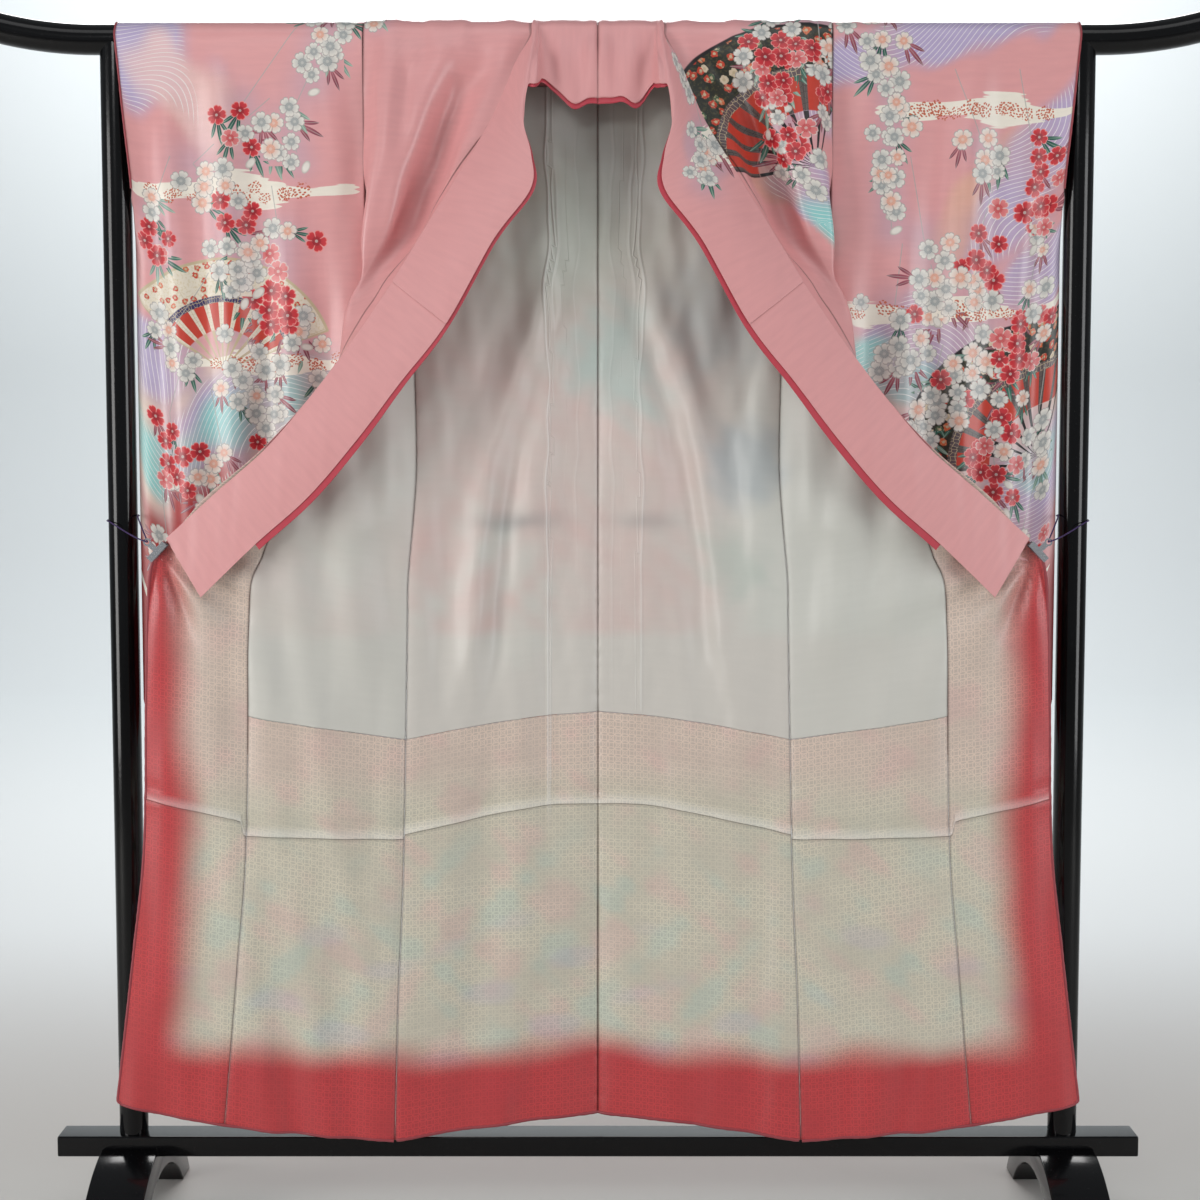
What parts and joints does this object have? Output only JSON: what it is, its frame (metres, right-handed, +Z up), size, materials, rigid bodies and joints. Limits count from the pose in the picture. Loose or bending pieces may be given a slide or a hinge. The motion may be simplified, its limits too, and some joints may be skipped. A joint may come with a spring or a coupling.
{
  "type": "furisode kimono on a kimono rack",
  "caption": "Long-sleeved kimono hung over a rack's bar, its fronts held open by clips to show the lining.",
  "frame": {"origin": "on the floor, midway between the posts, in the plane of the posts", "axes": "+Z up, +X to the right as seen from the open front, -Y out of the open front"},
  "size_m": [1.8144, 0.38, 1.7398],
  "materials": {
    "lacquer": "gloss black lacquer",
    "pink_silk": "satin",
    "printed_silk": "printed satin",
    "white_silk": "thin plain weave",
    "jacquard": "woven lattice, colour fading in at the hem",
    "red_silk": "satin",
    "clip_metal": "polished",
    "cord": "matt"
  },
  "bodies": {
    "root": {"back_hakkake_left": "jacquard", "back_hakkake_right": "jacquard", "back_left": "printed_silk", "back_lining_left": "white_silk", "back_lining_right": "white_silk", "back_right": "printed_silk", "clip_cord_left": "cord", "clip_cord_right": "cord", "clip_left": "clip_metal", "clip_right": "clip_metal", "collar_left": "pink_silk", "collar_lining_left": "red_silk", "collar_lining_right": "red_silk", "collar_right": "pink_silk", "front_hakkake_left": "jacquard", "front_hakkake_right": "jacquard", "front_left": "printed_silk", "front_lining_left": "white_silk", "front_lining_right": "white_silk", "front_right": "printed_silk", "okumi_hakkake_left": "jacquard", "okumi_hakkake_right": "jacquard", "okumi_left": "printed_silk", "okumi_right": "printed_silk", "over_collar_left": "pink_silk", "over_collar_right": "pink_silk", "rack_bar": "lacquer", "rack_beam": "lacquer", "rack_foot_left": "lacquer", "rack_foot_right": "lacquer", "rack_post_left": "lacquer", "rack_post_right": "lacquer", "sleeve_left": "printed_silk", "sleeve_right": "printed_silk"}
  },
  "joints": []
}
